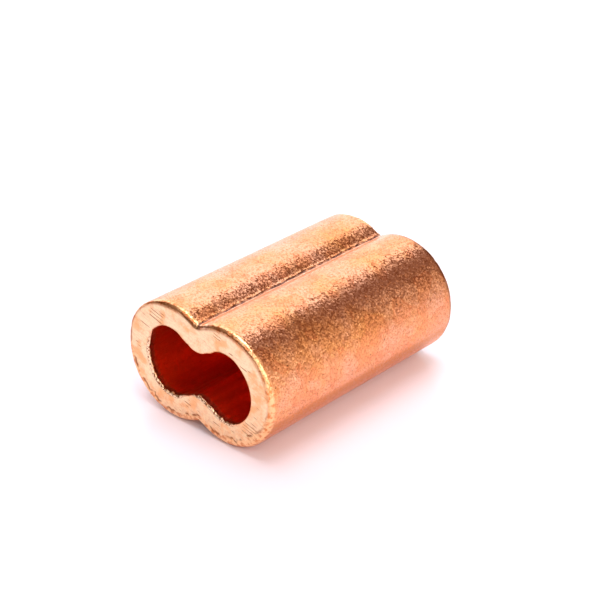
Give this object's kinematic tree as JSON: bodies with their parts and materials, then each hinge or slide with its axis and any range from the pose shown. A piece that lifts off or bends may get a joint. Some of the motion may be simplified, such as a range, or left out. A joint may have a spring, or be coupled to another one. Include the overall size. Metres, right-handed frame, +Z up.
{
  "type": "wire rope sleeve",
  "caption": "Hourglass copper sleeve that is swaged over two legs of wire rope, side by side, to close an eye.",
  "frame": {"origin": "middle of the sleeve, half-way between the two bores and half-way between the two sawn ends", "axes": "+Y along the bores, +X from one bore to the other, +Z up when the sleeve lies on its two lobes"},
  "size_m": [0.0184, 0.026, 0.012],
  "materials": {
    "copper": "satin"
  },
  "bodies": {
    "root": {"sleeve": "copper"}
  },
  "joints": []
}
